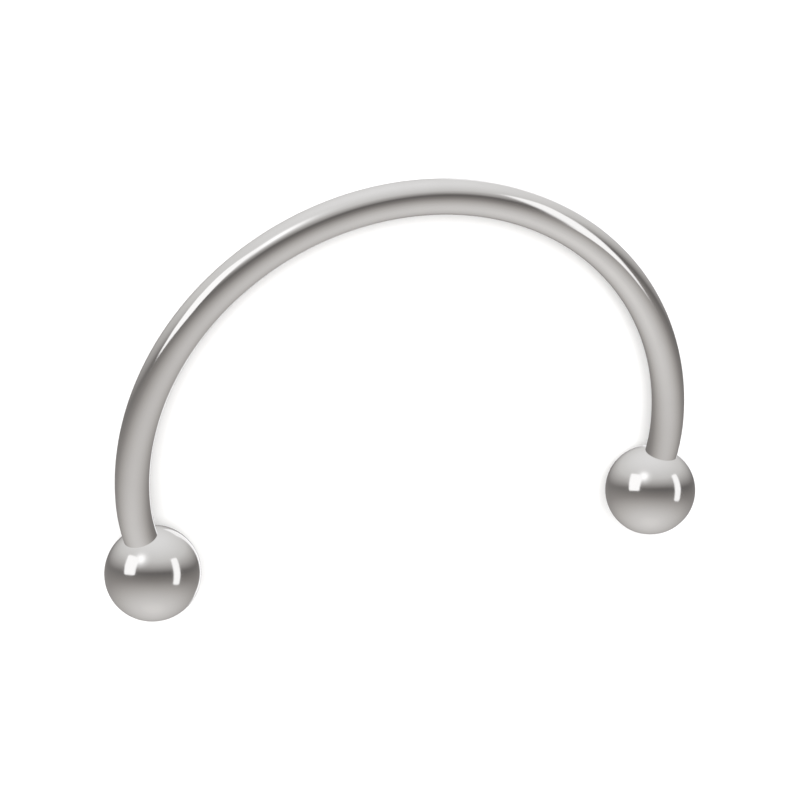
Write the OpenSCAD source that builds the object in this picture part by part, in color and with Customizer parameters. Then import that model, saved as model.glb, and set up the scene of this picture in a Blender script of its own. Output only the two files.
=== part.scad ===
// Curved barbell: a bent wire bar with a ball screwed on each end.
// It lies on its side, on both balls and the middle of the bar.
// X runs from ball to ball, Y towards the middle of the bar, Z is up.
// The origin is on the surface, below the middle of the whole part.

/* [Bar] */
// Diameter of the wire
wire_d = 1.2; // [1.1:0.05:1.6]
// Diameter of the half circle, measured on the wire's centreline
bend_d = 20; // [16:1:26]
// Radius of the tighter bend that continues it at each end
end_bend_r = 7.2; // [6:0.1:7.5]
// Angle that each end bend turns through
end_bend_angle = 11.8; // [5:0.1:20]

/* [Balls] */
// Diameter of each ball
ball_d = 3.4; // [3.2:0.1:5]
// Width of the flat on the ball, beyond the wire all round
seat_rim = 0.015; // [0.01:0.005:0.03]
// Depth of the tapped hole, from the flat
hole_depth = 2.5; // [2.3:0.05:2.5]

/* [Thread] */
// Outer diameter of the thread on the bar
thread_d = 0.9; // [0.8:0.02:0.9]
// Pitch of the thread
pitch = 0.225; // [0.2:0.025:0.25]
// Length of the threaded pin, from the bar's shoulder
pin_length = 2.1; // [1.8:0.05:2.1]

/* [Fits] */
// Gap between the bar's shoulder and the flat on the ball
seat_gap = 0.01; // [0.01:0.005:0.03]
// Clearance between the pin and the tapped hole, on the radius
thread_gap = 0.03; // [0.02:0.01:0.05]

/* [Hidden] */
$fn = 96;

bend_r = bend_d / 2;
wire_r = wire_d / 2;
ball_r = ball_d / 2;

// Thread form: grooves with 60 degrees between their flanks, and a flat crest and root
groove_depth = 0.54 * pitch;
flank = groove_depth * tan(30);
crest = pitch / 4;
root = pitch - crest - 2 * flank;
pin_r = thread_d / 2;
pin_root_r = pin_r - groove_depth;
neck = pitch;
pin_turns = floor((pin_length - neck - groove_depth) / pitch);
// The pin is one with the wire, so its root starts inside the wire
pin_inside = wire_r;

// The tapped hole is clear of the pin all round, and has a drill's point at its bottom
hole_r = pin_r + thread_gap;
hole_root_r = hole_r + groove_depth;
hole_chamfer = pitch / 4;
first_groove = pitch / 2;
hole_turns = floor((hole_depth - 2 * first_groove) / pitch);
drill_point = hole_r / tan(59);

// The ball's flat is just wider than the wire that seats on it
seat_from_centre = sqrt(ball_r ^ 2 - (wire_r + seat_rim) ^ 2);
shoulder_from_centre = seat_from_centre + seat_gap;

// Each ball's centre lies behind the half circle's middle, in the plane of the bar
ball_y = -end_bend_r * sin(end_bend_angle) - shoulder_from_centre * cos(end_bend_angle);

// Lying on its side: the balls are thicker than the wire, so the bar slopes down to its middle
slope = asin((ball_r - wire_r) / (bend_r - ball_y));
highest_y = bend_r * cos(slope) + wire_r;
lowest_y = ball_y * cos(slope) - ball_r;
circle_height = wire_r + bend_r * sin(slope);

// Lays what is drawn flat in XY, round the half circle's middle, on the surface
module laid_down() {
    translate([0, -(highest_y + lowest_y) / 2, circle_height]) rotate([-slope, 0, 0]) children();
}

// The right end is drawn, and the left end is its mirror image
module at_end(side) {
    mirror([side == "left" ? 1 : 0, 0, 0]) translate([bend_r - end_bend_r, 0, 0]) children();
}

// Z points out of the bar's shoulder, along the pin
module at_shoulder(side) {
    at_end(side) rotate([0, 0, -end_bend_angle]) translate([end_bend_r, 0, 0])
        rotate([90, 0, 0]) children();
}

// Wire bent round Z, from +X towards +Y
module bent_wire(radius, angle) {
    rotate_extrude(angle = angle) translate([radius, 0]) circle(r = wire_r);
}

// Cross-section points of threads, as [radius, height]: from base to peak and back, in order up Z
function threads(base, peak, start, turns, flat) = [
    for (i = [0 : turns - 1]) each [
        [base, start + i * pitch],
        [peak, start + i * pitch + flank],
        [peak, start + i * pitch + flank + flat],
        [base, start + i * pitch + 2 * flank + flat]
    ]
];

module threaded_pin() {
    last = neck + pin_turns * pitch;
    rotate_extrude() polygon(concat(
        [[0, -pin_inside], [pin_root_r, -pin_inside]],
        threads(pin_root_r, pin_r, neck, pin_turns, crest),
        [[pin_root_r, last], [pin_r, last + flank], [pin_r, pin_length - groove_depth],
         [pin_root_r, pin_length], [0, pin_length]]));
}

module tapped_hole() {
    mouth_r = hole_r + hole_chamfer;
    rotate_extrude() polygon(concat(
        [[0, -ball_r], [mouth_r, -ball_r], [mouth_r, 0], [hole_r, hole_chamfer]],
        threads(hole_r, hole_root_r, first_groove, hole_turns, root),
        [[hole_r, hole_depth], [0, hole_depth + drill_point]]));
}

module bar() {
    color("silver") laid_down() {
        bent_wire(bend_r, 180);
        for (side = ["left", "right"]) {
            at_end(side) mirror([0, 1, 0]) bent_wire(end_bend_r, end_bend_angle);
            at_shoulder(side) threaded_pin();
        }
    }
}

module ball(side) {
    color("gainsboro") laid_down() at_shoulder(side) translate([0, 0, seat_gap]) difference() {
        translate([0, 0, seat_from_centre]) sphere(r = ball_r);
        translate([0, 0, -ball_r]) cylinder(r = ball_r, h = ball_r);
        tapped_hole();
    }
}

module left_ball() ball("left");
module right_ball() ball("right");

bar();
left_ball();
right_ball();
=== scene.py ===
import math
from collections import namedtuple

import bpy
import numpy as np
from mathutils import Matrix, Vector


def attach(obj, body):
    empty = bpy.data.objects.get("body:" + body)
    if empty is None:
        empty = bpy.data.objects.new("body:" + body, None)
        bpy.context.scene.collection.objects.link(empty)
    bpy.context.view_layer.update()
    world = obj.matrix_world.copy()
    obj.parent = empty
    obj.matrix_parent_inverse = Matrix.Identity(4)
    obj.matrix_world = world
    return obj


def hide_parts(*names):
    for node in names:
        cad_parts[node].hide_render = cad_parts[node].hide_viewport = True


# Curved barbell in polished surgical steel: a bent wire with a ball screwed on each end.
# Each skin is a grid of points worked out with numpy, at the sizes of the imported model.

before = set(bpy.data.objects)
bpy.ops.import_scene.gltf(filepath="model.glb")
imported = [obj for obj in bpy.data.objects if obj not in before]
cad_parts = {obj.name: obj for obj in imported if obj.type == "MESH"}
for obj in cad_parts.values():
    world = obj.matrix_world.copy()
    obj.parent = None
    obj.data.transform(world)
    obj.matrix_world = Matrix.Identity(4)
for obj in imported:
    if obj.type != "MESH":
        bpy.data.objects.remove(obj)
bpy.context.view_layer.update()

MM = 0.001

# Wire and its bends
WIRE_R = 0.6 * MM
BEND_R = 10 * MM
END_BEND_R = 7.2 * MM
END_BEND_ANGLE = math.radians(11.8)

# Balls, and the flats that the wire's shoulders seat on
BALL_R = 1.7 * MM
SEAT_RIM = 0.015 * MM
SEAT_GAP = 0.01 * MM

# Threads
PITCH = 0.225 * MM
PIN_R = 0.45 * MM
PIN_LENGTH = 2.1 * MM
THREAD_GAP = 0.03 * MM
HOLE_DEPTH = 2.5 * MM
DRILL_HALF_ANGLE = math.radians(59)

# Roundings: buffing leaves them on the edges of the shoulders and the flats, and the cutter at the neck
SHOULDER_EDGE = 0.006 * MM
SEAT_EDGE = 0.006 * MM
NECK_EDGE = 0.04 * MM

# Thread form, with 60 degrees between the flanks
GROOVE_DEPTH = 0.54 * PITCH
FLANK = GROOVE_DEPTH * math.tan(math.radians(30))
CREST = PITCH / 4
ROOT = PITCH - CREST - 2 * FLANK
PIN_ROOT_R = PIN_R - GROOVE_DEPTH
HOLE_R = PIN_R + THREAD_GAP
HOLE_CHAMFER = PITCH / 4
THREAD_CLEAR = PITCH / 2  # plain part between a thread and the shoulder, or the bottom of the hole

# Distances along the wire's centreline, from its middle
QUARTER = BEND_R * math.pi / 2
SHOULDER = QUARTER + END_BEND_R * END_BEND_ANGLE

# Centre of the right ball, in the plane of the bar, from the half circle's middle
SEAT_R = WIRE_R + SEAT_RIM
SEAT_FROM_CENTRE = math.sqrt(BALL_R ** 2 - SEAT_R ** 2)
SHOULDER_FROM_CENTRE = SEAT_FROM_CENTRE + SEAT_GAP
BALL_X = (BEND_R - END_BEND_R + END_BEND_R * math.cos(END_BEND_ANGLE)
          - SHOULDER_FROM_CENTRE * math.sin(END_BEND_ANGLE))
BALL_Y = -END_BEND_R * math.sin(END_BEND_ANGLE) - SHOULDER_FROM_CENTRE * math.cos(END_BEND_ANGLE)

# Where the arch lies: it slopes down from the balls to its middle
SLOPE = math.asin((BALL_R - WIRE_R) / (BEND_R - BALL_Y))
HIGHEST_Y = BEND_R * math.cos(SLOPE) + WIRE_R
LOWEST_Y = BALL_Y * math.cos(SLOPE) - BALL_R
ARCH_CENTRE = np.array([0, -(HIGHEST_Y + LOWEST_Y) / 2, WIRE_R + BEND_R * math.sin(SLOPE)])
ARCH_AXES = np.array([[1, 0, 0],
                      [0, math.cos(SLOPE), -math.sin(SLOPE)],
                      [0, math.sin(SLOPE), math.cos(SLOPE)]])

# How finely the skins are drawn
WIRE_SIDES = 72
WIRE_STEP = 0.11 * MM
BALL_SIDES = 128
BALL_STEPS = 96
THREAD_STEPS = 18  # rings for each pitch
EDGE_STEPS = 6
EDGE_MARGIN = 0.004 * MM  # from the last plain ring to a rounded edge, so that shading is even up to it
RIM_ARC = 1.5 * SEAT_EDGE / BALL_R  # angle of the ball that the rounding round its flat takes up
TIP_RINGS = (0.5, 0.25)  # parts of the radius of the pin's root
DRILL_RINGS = (0.25, 0.5, 0.75, 0.98)  # parts of the hole's radius, the last one for a crisp edge

POLISHED, CUT = 0, 1  # material slots of each piece


# Shapes

def around(sides):
    """Angles of the points round a ring."""
    return np.arange(sides) / sides * 2 * math.pi


def eased(before, corner, after):
    """Rounds a corner of a profile off: a quadratic curve from before to after that leans on the corner."""
    t = np.linspace(0, 1, EDGE_STEPS + 1)[:, None]
    before, corner, after = (np.array(point) for point in (before, corner, after))
    return (1 - t) ** 2 * before + 2 * t * (1 - t) * corner + t ** 2 * after


def thread_height(along, turn, flat):
    """Height of a right-hand thread, from 0 at its foot to 1 on its flat top, at a distance along the axis
    and an angle round it. The distance to the middle of the nearest top repeats with the pitch and moves
    one pitch for each turn. Beyond half the flat, the height falls off along the flank."""
    phase = (along / PITCH - turn / (2 * math.pi)) % 1.0
    from_top = np.abs(phase - 0.5) * PITCH
    return np.clip((flat / 2 + FLANK - from_top) / FLANK, 0, 1)


def wire_centreline(s):
    """The wire's centreline at distances s from its middle, in the plane of the bar: a half circle, then a
    tighter bend on each side, then straight along the pin. Gives x, y and the angle turned through."""
    side = np.where(s < 0, -1.0, 1.0)
    out = np.abs(s)
    turn = np.minimum(out, QUARTER) / BEND_R + np.clip(out - QUARTER, 0, SHOULDER - QUARTER) / END_BEND_R
    straight = np.clip(out - SHOULDER, 0, None)
    radius = np.where(out < QUARTER, BEND_R, END_BEND_R)
    x = BEND_R - radius + radius * np.sin(turn) + straight * np.cos(turn)
    y = radius * np.cos(turn) - straight * np.sin(turn)
    return side * x, y, side * turn


def on_arch(x, y, z):
    """Points drawn flat round the half circle's middle, put where the arch lies."""
    return np.stack(np.broadcast_arrays(x, y, z), -1) @ ARCH_AXES + ARCH_CENTRE


def skin(name, rings, ends, along, girth, slots):
    """One closed skin from a grid of points. Each ring of points joins round to its own first point, and
    joins the next ring by four-sided faces. The first and last rings close in fans to the two points in ends.
    The UV map holds distances in millimetres, up to girth round a ring and as in along from ring to ring, so
    that a pattern keeps its real size. slots is the material slot of the faces from each ring to the next."""
    rows, cols = rings.shape[:2]
    row, col = (n.reshape(-1, 1) for n in np.mgrid[0:rows - 1, 0:cols])
    fan = np.arange(cols)[:, None]
    # Grid row and column of each face's corners: the four-sided faces, then the first fan and the last
    corner_rows = (row + [0, 0, 1, 1], np.zeros((cols, 3), int), np.full((cols, 3), rows - 1))
    corner_cols = (col + [0, 1, 1, 0], fan + [0, 1, 0], fan + [0, 0, 1])
    corner_row = np.concatenate([part.ravel() for part in corner_rows])
    corner_col = np.concatenate([part.ravel() for part in corner_cols])
    corner = corner_row * cols + corner_col % cols
    first_fan = row.size * 4
    last_fan = first_fan + cols * 3
    corner[first_fan:last_fan:3] = rows * cols
    corner[last_fan::3] = rows * cols + 1
    sizes = np.repeat([4, 3], [row.size, 2 * cols])
    uv = np.stack([corner_col / cols * girth, along[corner_row]], -1) / MM

    mesh = bpy.data.meshes.new(name)
    mesh.vertices.add(rows * cols + 2)
    mesh.vertices.foreach_set("co", np.concatenate([rings.reshape(-1, 3), ends]).ravel())
    mesh.loops.add(len(corner))
    mesh.loops.foreach_set("vertex_index", corner)
    mesh.polygons.add(len(sizes))
    mesh.polygons.foreach_set("loop_start", np.cumsum(sizes) - sizes)
    mesh.polygons.foreach_set("use_smooth", np.ones(len(sizes), bool))
    mesh.polygons.foreach_set("material_index", np.repeat([*slots[:-1], slots[0], slots[-1]], cols))
    mesh.uv_layers.new(name="millimetres").data.foreach_set("uv", uv.ravel())
    mesh.update(calc_edges=True)
    piece = bpy.data.objects.new(name, mesh)
    bpy.context.scene.collection.objects.link(piece)
    return piece


def pin_profile():
    """The right-hand end's profile from the wire to the tip: distances from the shoulder, and the largest
    radius at each. The wire's edge and the neck's corner are rounded. Where the pin is threaded, the largest
    radius rises and falls at 45 degrees at the two ends of the thread."""
    edge = eased((-SHOULDER_EDGE, WIRE_R), (0, WIRE_R), (0, WIRE_R - SHOULDER_EDGE))
    neck = eased((0, PIN_ROOT_R + NECK_EDGE), (0, PIN_ROOT_R), (NECK_EDGE, PIN_ROOT_R))
    out = np.linspace(NECK_EDGE, PIN_LENGTH, round(PIN_LENGTH / PITCH * THREAD_STEPS))[1:]
    most = np.clip(PIN_ROOT_R + np.minimum(out - THREAD_CLEAR, PIN_LENGTH - out), PIN_ROOT_R, PIN_R)
    tip = [(PIN_LENGTH, PIN_ROOT_R * part) for part in TIP_RINGS]
    return np.concatenate([edge, neck, np.c_[out, most], tip]).T


def bar():
    """The wire carried along its centreline, with a pin at each end. A ring at distance s has the wire's
    radius, or past the neck the smaller of the thread's radius and the largest that the profile allows."""
    from_shoulder, pin_most = pin_profile()
    pin_s = SHOULDER + from_shoulder
    reach = SHOULDER - SHOULDER_EDGE - EDGE_MARGIN
    wire_s = np.linspace(-reach, reach, round(2 * reach / WIRE_STEP))
    s = np.concatenate([-pin_s[::-1], wire_s, pin_s])[:, None]
    most = np.concatenate([pin_most[::-1], np.full(len(wire_s), WIRE_R), pin_most])[:, None]
    turn = around(WIRE_SIDES)
    thread = PIN_ROOT_R + GROOVE_DEPTH * thread_height(s, turn, CREST)
    radius = np.where(np.abs(s) > SHOULDER + NECK_EDGE, np.minimum(thread, most), most)

    x, y, bend = wire_centreline(s)
    outward = radius * np.cos(turn)
    rings = on_arch(x + outward * np.sin(bend), y + outward * np.cos(bend), radius * np.sin(turn))
    tip_x, tip_y, _ = wire_centreline(np.array([-1, 1]) * (SHOULDER + PIN_LENGTH))
    on_pin = np.abs(s[:, 0]) > SHOULDER
    slots = np.where(on_pin | np.roll(on_pin, -1), CUT, POLISHED)
    return skin("bar_steel", rings, on_arch(tip_x, tip_y, 0), s[:, 0], 2 * math.pi * WIRE_R, slots)


def ball(side):
    """One skin turned round the pin's axis, from the drill's point out of the tapped hole, over the flat and
    round the ball to its far side. z runs along the axis from the flat into the ball. In the hole, the
    thread's groove goes outwards from the profile, and fades at both ends."""
    drill_z = HOLE_DEPTH + HOLE_R / math.tan(DRILL_HALF_ANGLE)
    point = [(drill_z + (HOLE_DEPTH - drill_z) * part, HOLE_R * part) for part in DRILL_RINGS]
    hole_z = np.linspace(HOLE_DEPTH, HOLE_CHAMFER, round(HOLE_DEPTH / PITCH * THREAD_STEPS))
    hole = np.c_[hole_z, np.full(len(hole_z), HOLE_R)]
    mouth_r = HOLE_R + HOLE_CHAMFER
    mouth = eased((SEAT_EDGE, mouth_r - SEAT_EDGE), (0, mouth_r), (0, mouth_r + SEAT_EDGE))
    angle = np.linspace(math.pi - math.asin(SEAT_R / BALL_R) - RIM_ARC, 0, BALL_STEPS)[:-1]
    outside = np.c_[SEAT_FROM_CENTRE + BALL_R * np.cos(angle), BALL_R * np.sin(angle)]
    rim = eased((0, SEAT_R - SEAT_EDGE), (0, SEAT_R), outside[0])[:-1]
    z, plain_r = np.concatenate([point, hole, mouth, rim, outside]).T[..., None]

    turn = around(BALL_SIDES)
    ring = np.arange(len(z))
    hole_end = len(point) + len(hole)
    deepest = np.minimum(z - HOLE_CHAMFER, HOLE_DEPTH - THREAD_CLEAR - z)
    groove = np.clip(deepest, 0, GROOVE_DEPTH * thread_height(z, turn, ROOT))
    radius = plain_r + np.where(ring[:, None] < hole_end, groove, 0)

    way = {"left": -1, "right": 1}[side]
    axis = np.array([-way * math.sin(END_BEND_ANGLE), -math.cos(END_BEND_ANGLE), 0]) @ ARCH_AXES
    across = ARCH_AXES[2]
    third = np.cross(axis, across)
    seat = on_arch(way * BALL_X, BALL_Y, 0) - SEAT_FROM_CENTRE * axis
    outward = np.cos(turn)[:, None] * across + np.sin(turn)[:, None] * third
    rings = seat + z[..., None] * axis + radius[..., None] * outward
    ends = [seat + drill_z * axis, seat + (SEAT_FROM_CENTRE + BALL_R) * axis]
    path = np.concatenate([[0], np.cumsum(np.hypot(np.diff(z[:, 0]), np.diff(plain_r[:, 0])))])
    # The cut steel ends half way round the mouth's edge
    slots = np.where(ring < hole_end + len(mouth) // 2, CUT, POLISHED)
    return skin(side + "_ball_steel", rings, ends, path, 2 * math.pi * BALL_R, slots)


# Finishes

RELIEF = 0.02 * MM  # height that a pattern stands for
MOST_NOISE = (0.3, 0.7)  # nearly all values of a noise pattern lie between these
BUFFED = (0.09, 0.12)  # least and most roughness
AS_CUT = (0.25, 0.4)


def linear(hex_colour):
    """An sRGB hex colour as the linear red, green, blue and alpha that Blender works in."""
    parts = [int(hex_colour[n:n + 2], 16) / 255 for n in (1, 3, 5)]
    return [p / 12.92 if p <= 0.04045 else ((p + 0.055) / 1.055) ** 2.4 for p in parts] + [1.0]


def add(tree, kind, inputs=None, **settings):
    """Adds a node with its settings. Each input goes by its name or number among those in use, and gets a
    value, an output socket that feeds it, or a node whose first output in use feeds it."""
    node = tree.nodes.new(kind)
    for name, value in settings.items():
        setattr(node, name, value)
    in_use = [socket for socket in node.inputs if socket.enabled]
    for key, source in (inputs or {}).items():
        socket = in_use[key] if isinstance(key, int) else next(s for s in in_use if s.name == key)
        if isinstance(source, bpy.types.Node):
            source = next(output for output in source.outputs if output.enabled)
        if isinstance(source, bpy.types.NodeSocket):
            tree.links.new(source, socket)
        else:
            socket.default_value = source
    return node


def new_material(name):
    """An empty material and its node tree."""
    material = bpy.data.materials.new(name)
    material.use_nodes = True
    material.node_tree.nodes.clear()
    return material, material.node_tree


def buffed_tone(tree, place):
    """Colour of buffed steel: nearly even, in faint patches about a millimetre across."""
    patches = add(tree, "ShaderNodeTexNoise", {"Vector": place, "Scale": 0.9 / MM, "Detail": 2})
    return add(tree, "ShaderNodeMix", {"Factor": patches, "A": linear("#D2D0CD"), "B": linear("#D7D5D2")},
               data_type="RGBA")


def finish_steel(tree, tone, pattern, roughness, strength):
    """Ends a finish: steel of this tone, whose roughness and relief follow the pattern."""
    gloss = add(tree, "ShaderNodeMapRange", {"Value": pattern,
                                             "From Min": MOST_NOISE[0], "From Max": MOST_NOISE[1],
                                             "To Min": roughness[0], "To Max": roughness[1]})
    relief = add(tree, "ShaderNodeBump", {"Height": pattern, "Strength": strength, "Distance": RELIEF})
    steel = add(tree, "ShaderNodeBsdfPrincipled", {"Base Color": tone, "Roughness": gloss, "Normal": relief,
                                                   "Metallic": 1.0})
    add(tree, "ShaderNodeOutputMaterial", {"Surface": steel})


def polished_wire():
    """Drawn 316L wire, buffed along its length: bright, with faint draw lines that run with the wire."""
    material, tree = new_material("polished_drawn_wire")
    millimetres = add(tree, "ShaderNodeUVMap", uv_map="millimetres")
    place = add(tree, "ShaderNodeTexCoord").outputs["Object"]
    # Draw lines are about 0.01 mm apart on the real wire. They are drawn at 0.05 mm so that they show
    stretched = add(tree, "ShaderNodeMapping", {"Vector": millimetres, "Scale": (20, 0.5, 1)})
    lines = add(tree, "ShaderNodeTexNoise", {"Vector": stretched, "Scale": 1, "Detail": 3})
    finish_steel(tree, buffed_tone(tree, place), lines, BUFFED, strength=0.05)
    return material


def tumbled_ball():
    """Turned 316L ball, tumbled and buffed: bright all round, with hairline marks in every direction."""
    material, tree = new_material("tumbled_ball_steel")
    place = add(tree, "ShaderNodeTexCoord").outputs["Object"]
    # Hairlines 0.06 mm wide stand for real ones a tenth of that
    stretched = add(tree, "ShaderNodeMapping", {"Vector": place, "Scale": (9 / MM, 2.5 / MM, 6 / MM),
                                                "Rotation": (0.5, 0.3, 0.9)})
    hairlines = add(tree, "ShaderNodeTexNoise", {"Vector": stretched, "Scale": 1, "Detail": 3})
    finish_steel(tree, buffed_tone(tree, place), hairlines, BUFFED, strength=0.04)
    return material


def cut_thread_and_painted_shade():
    """Steel as the thread cutter and the drill leave it: greyer, with fine rings round the axis. Its colour
    also holds painted shade: grooves and the hole are painted darker the more closed in they are, in place of
    the shade of their own walls, which the steel doesn't mirror."""
    material, tree = new_material("cut_steel_and_painted_shade")
    millimetres = add(tree, "ShaderNodeUVMap", uv_map="millimetres")
    # Tool marks 0.03 mm apart
    stretched = add(tree, "ShaderNodeMapping", {"Vector": millimetres, "Scale": (0.6, 33, 1)})
    marks = add(tree, "ShaderNodeTexNoise", {"Vector": stretched, "Scale": 1, "Detail": 2})
    # Painted shade: ambient occlusion darkens the colour in the thread's grooves and deep in the hole
    recess_occlusion = add(tree, "ShaderNodeAmbientOcclusion", {"Distance": 1 * MM}, samples=16, only_local=True)
    painted_shade_factor = add(tree, "ShaderNodeMapRange", {"Value": recess_occlusion.outputs["AO"],
                                                "From Min": 0.2, "From Max": 0.9})
    # The near-black colour is painted shade; the light one is the cut steel's own tone
    tone = add(tree, "ShaderNodeMix", {"Factor": painted_shade_factor, "A": linear("#1B1A1A"), "B": linear("#CBC9C6")},
               data_type="RGBA")
    finish_steel(tree, tone, marks, AS_CUT, strength=0.2)
    return material


def white_card():
    """Matt white card for the floor: even and free of gloss, with a fine grain."""
    material, tree = new_material("matt_white_card")
    place = add(tree, "ShaderNodeTexCoord").outputs["Object"]
    grain = add(tree, "ShaderNodeTexNoise", {"Vector": place, "Scale": 1.5 / MM, "Detail": 2})
    relief = add(tree, "ShaderNodeBump", {"Height": grain, "Strength": 0.03, "Distance": RELIEF})
    card = add(tree, "ShaderNodeBsdfPrincipled", {"Base Color": linear("#F6F6F5"), "Normal": relief,
                                                  "Roughness": 0.9, "Specular IOR Level": 0.1})
    add(tree, "ShaderNodeOutputMaterial", {"Surface": card})
    return material


# Camera

# The camera is fitted to the edges of the bar and the balls in the photograph
CAMERA_AIM = Vector((-0.002, -1.328, 0)) * MM
CAMERA_DISTANCE = 64.832 * MM
CAMERA_AZIMUTH = math.radians(-24.868)  # from +Y towards +X
CAMERA_ELEVATION = math.radians(52.800)
CAMERA_ROLL = math.radians(-151.321)  # the middle of the bar is nearest, and shows at the top
CAMERA_LENS = 81.096  # mm
SENSOR_WIDTH = 36  # mm
NEAREST, FARTHEST = 1 * MM, 10  # limits of what the camera sees, in metres


def camera_axes():
    """The camera's right, up and backward directions, from its azimuth, elevation and roll."""
    level = math.cos(CAMERA_ELEVATION)
    back = Vector((level * math.sin(CAMERA_AZIMUTH), level * math.cos(CAMERA_AZIMUTH),
                   math.sin(CAMERA_ELEVATION)))
    level_right = Vector((0, 0, 1)).cross(back).normalized()
    level_up = back.cross(level_right)
    right = math.cos(CAMERA_ROLL) * level_right - math.sin(CAMERA_ROLL) * level_up
    return right, back.cross(right), back


def looking_at(target, distance, axes):
    """Place of something that looks at the target: backed off from it along its own backward direction."""
    return Matrix.Translation(target + distance * axes[2]) @ Matrix(axes).transposed().to_4x4()


def place_camera():
    """The camera, at the photo's angle to the piece."""
    data = bpy.data.cameras.new("camera")
    data.lens = CAMERA_LENS
    data.sensor_width = SENSOR_WIDTH
    data.clip_start = NEAREST
    data.clip_end = FARTHEST
    camera = bpy.data.objects.new("camera", data)
    camera.matrix_world = looking_at(CAMERA_AIM, CAMERA_DISTANCE, camera_axes())
    bpy.context.scene.collection.objects.link(camera)
    bpy.context.scene.camera = camera


# Studio

# The room is dark at the camera's level, and lighter above and below. Each pair is the sine of an angle up
# and the room's colour there. These levels started from measured tones of the steel in the photograph, by
# the direction it mirrors, and were then changed
ROOM = [(-1.0, "#EFEEEF"), (-0.93, "#E4E3E4"), (-0.55, "#BEBCBB"), (-0.24, "#928F8E"), (-0.085, "#807D7C"),
        (0.045, "#716F6F"), (0.1, "#757272"), (0.315, "#B9B8B8"), (0.53, "#DEDEDF"), (1.0, "#FAFBFE")]
ROOM_GLOW = "#FFFCFA"
MOST_GLOW = 0.086
DARK_CORNER = 40  # degrees to the right of the camera
ROOM_STRENGTH = 1.1

# As seen from the piece, a softbox stands in a direction that is degrees to the right and up from the camera.
# Slopes from that direction give its lower left and upper right corners, their radius and its soft rim.
# Their edges and brightness started from their measured mirror images, in the same way
Softbox = namedtuple("Softbox", "right up low high corner rim glow")
SOFTBOXES = [Softbox(-27.3, 37.0, (0, 0), (0, 0), 0, 0.5, 1.1),  # haze round the small lamp
             Softbox(-27.3, 36.8, (-0.03, -0.03), (0.03, 0.03), 0.03, 0.26, 1.58),  # the small lamp
             Softbox(-49.4, 32.1, (-0.255, -0.603), (0.255, 0.11), 0.035, 0.06, 1.41),
             Softbox(66.6, 6.1, (-0.129, -0.5), (0.129, 0.487), 0.045, 0.06, 1.37),
             Softbox(165.4, 10, (-0.142, -0.52), (0.142, 0.52), 0.02, 0.05, 1.22)]
SOFTBOX_COLOUR = "#F9FAFD"
AHEAD = 0.001  # least part of a direction that counts as towards a softbox

# Broad lamp behind the camera, in degrees, metres and watts
LAMP_UP = 6
LAMP_DISTANCE = 0.8
LAMP_SIZE = 0.6
LAMP_POWER = 10.0

# Floor, in metres: the radius of its flat part, the radius of the curve up to the wall, and the wall's height
FLAT_R, CURVE_R, WALL = 0.3, 0.6, 0.6
FLAT_RINGS = (0.05, 0.2)
FLOOR_SIDES = 96
CURVE_STEPS = 16


def studio_axes(right, up):
    """Right, up and backward directions of something that faces the piece, at degrees to the right and up
    from the camera."""
    camera_right, camera_up, camera_back = camera_axes()
    a, b = math.radians(right), math.radians(up)
    level = math.cos(a) * camera_back + math.sin(a) * camera_right
    return (math.cos(a) * camera_right - math.sin(a) * camera_back,
            math.cos(b) * camera_up - math.sin(b) * level,
            math.cos(b) * level + math.sin(b) * camera_up)


def softbox(tree, looking, behind, box):
    """Draws a softbox over the colour behind it. The direction looked in, in the box's own axes and divided
    by its part towards the box, gives slopes to the right and up. Their distance from a box that is smaller
    by the radius of the corners shows the softbox: in full up to that radius, then fading over the rim.
    Looking away from the box, the distance is large."""
    turned = Matrix(studio_axes(box.right, box.up)).to_euler()
    local = add(tree, "ShaderNodeMapping", {"Vector": looking, "Rotation": turned}, vector_type="VECTOR")
    towards = add(tree, "ShaderNodeSeparateXYZ", {"Vector": local}).outputs["Z"]
    ahead = add(tree, "ShaderNodeMath", {0: towards, 1: AHEAD}, operation="MAXIMUM")
    slopes = add(tree, "ShaderNodeVectorMath", {0: local, 1: ahead}, operation="DIVIDE")
    low = [slope + box.corner for slope in box.low] + [1]
    high = [slope - box.corner for slope in box.high] + [1]
    nearest = add(tree, "ShaderNodeVectorMath", {0: slopes, 1: low}, operation="MAXIMUM")
    nearest = add(tree, "ShaderNodeVectorMath", {0: nearest, 1: high}, operation="MINIMUM")
    off = add(tree, "ShaderNodeVectorMath", {0: slopes, 1: nearest}, operation="DISTANCE")
    shown = add(tree, "ShaderNodeMapRange", {"Value": off, "To Min": 1, "To Max": 0,
                                             "From Min": box.corner, "From Max": box.corner + box.rim},
                interpolation_type="SMOOTHSTEP")
    light = [box.glow * part for part in linear(SOFTBOX_COLOUR)[:3]] + [1]
    return add(tree, "ShaderNodeMix", {"Factor": shown, "A": behind, "B": light}, data_type="RGBA")


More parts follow.
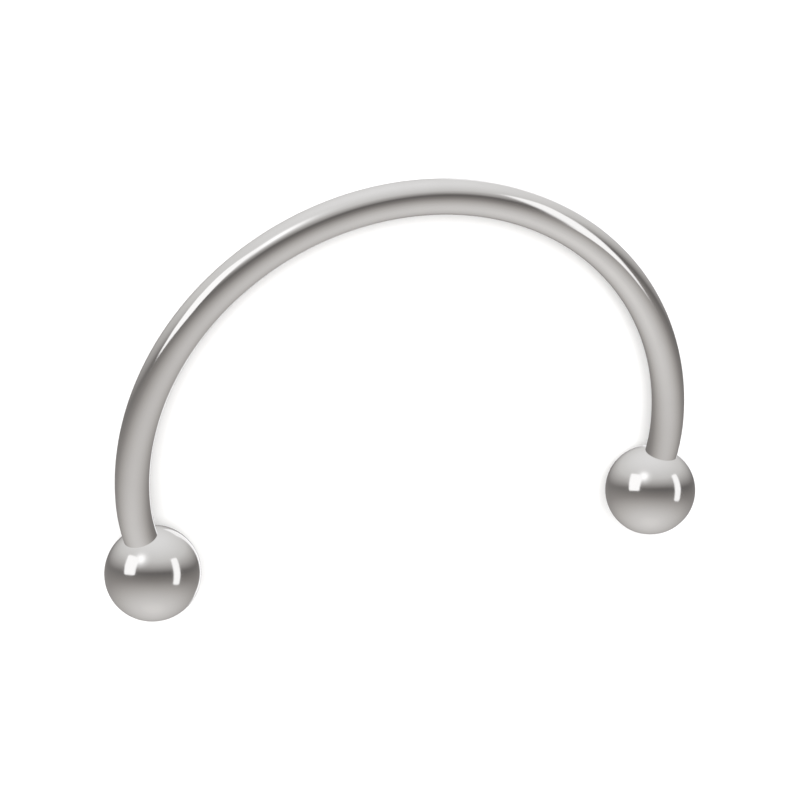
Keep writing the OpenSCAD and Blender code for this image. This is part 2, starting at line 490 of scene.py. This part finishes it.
def studio():
    """The room as the steel mirrors it: its colour by height, a faint glow that grows away from the darkest
    corner, and the softboxes over them."""
    world = bpy.data.worlds.new("studio")
    world.use_nodes = True
    bpy.context.scene.world = world
    tree = world.node_tree
    tree.nodes.clear()
    looking = add(tree, "ShaderNodeTexCoord").outputs["Generated"]

    sine = add(tree, "ShaderNodeVectorMath", {0: looking, 1: camera_axes()[1]}, operation="DOT_PRODUCT")
    height = add(tree, "ShaderNodeMapRange", {"Value": sine, "From Min": -1, "From Max": 1})
    room = add(tree, "ShaderNodeValToRGB", {"Fac": height})
    stops = room.color_ramp.elements
    while len(stops) < len(ROOM):
        stops.new(0.5)
    for stop, (up, colour) in zip(stops, ROOM):
        stop.position = (up + 1) / 2
        stop.color = linear(colour)

    to_corner = add(tree, "ShaderNodeVectorMath", {0: looking, 1: studio_axes(DARK_CORNER, 0)[2]},
                    operation="DOT_PRODUCT")
    away = add(tree, "ShaderNodeMapRange", {"Value": to_corner, "From Min": 1, "From Max": -1,
                                            "To Min": 0, "To Max": MOST_GLOW})
    colour = add(tree, "ShaderNodeMix", {"Factor": away, "A": room, "B": linear(ROOM_GLOW)},
                 data_type="RGBA", blend_type="SCREEN")
    for box in SOFTBOXES:
        colour = softbox(tree, looking, colour, box)
    light = add(tree, "ShaderNodeBackground", {"Color": colour, "Strength": ROOM_STRENGTH})
    add(tree, "ShaderNodeOutputWorld", {"Surface": light})


def soft_light():
    """A broad lamp behind the camera and a little above it. The steel doesn't mirror it."""
    data = bpy.data.lights.new("soft_light", "AREA")
    data.size = LAMP_SIZE
    data.energy = LAMP_POWER
    lamp = bpy.data.objects.new("soft_light", data)
    lamp.matrix_world = looking_at(Vector(), LAMP_DISTANCE, studio_axes(0, LAMP_UP))
    lamp.visible_glossy = False
    bpy.context.scene.collection.objects.link(lamp)


def pale_floor():
    """A flat sheet that curves up into a round wall and a dome: a profile of radii and heights, turned round
    the middle. It is there for the eye alone. The steel doesn't mirror it and gets no light from it."""
    rise = np.linspace(0, math.pi / 2, CURVE_STEPS + 1)
    dome_r = FLAT_R + CURVE_R
    r = np.concatenate([FLAT_RINGS, FLAT_R + CURVE_R * np.sin(rise), dome_r * np.cos(rise[:-1])])
    z = np.concatenate([[0, 0], CURVE_R * (1 - np.cos(rise)), WALL + dome_r * np.sin(rise[:-1])])
    turn = -around(FLOOR_SIDES)
    x, y = r[:, None] * np.cos(turn), r[:, None] * np.sin(turn)
    rings = np.stack(np.broadcast_arrays(x, y, z[:, None]), -1)
    floor = skin("floor", rings, [(0, 0, 0), (0, 0, WALL + dome_r)], r, 1, np.zeros(len(r), int))
    floor.data.materials.append(white_card())
    floor.visible_glossy = False
    floor.visible_diffuse = False
    floor.visible_shadow = False


place_camera()
studio()
soft_light()
pale_floor()

# Cut steel for the threads and holes, with painted shade in their grooves and depths
threads_with_painted_shade = cut_thread_and_painted_shade()
for piece, finish, node, slot in (
        (bar(), polished_wire(), "bar", "bar_steel"),
        (ball("left"), tumbled_ball(), "left_ball", "ball_steel"),
        (ball("right"), tumbled_ball(), "right_ball", "ball_steel")):
    piece.data.materials.append(finish)
    piece.data.materials.append(threads_with_painted_shade)
    piece.visible_glossy = False
    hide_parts(node)
    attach(piece, node)

# Tones show as they are set
bpy.context.scene.view_settings.view_transform = "Standard"
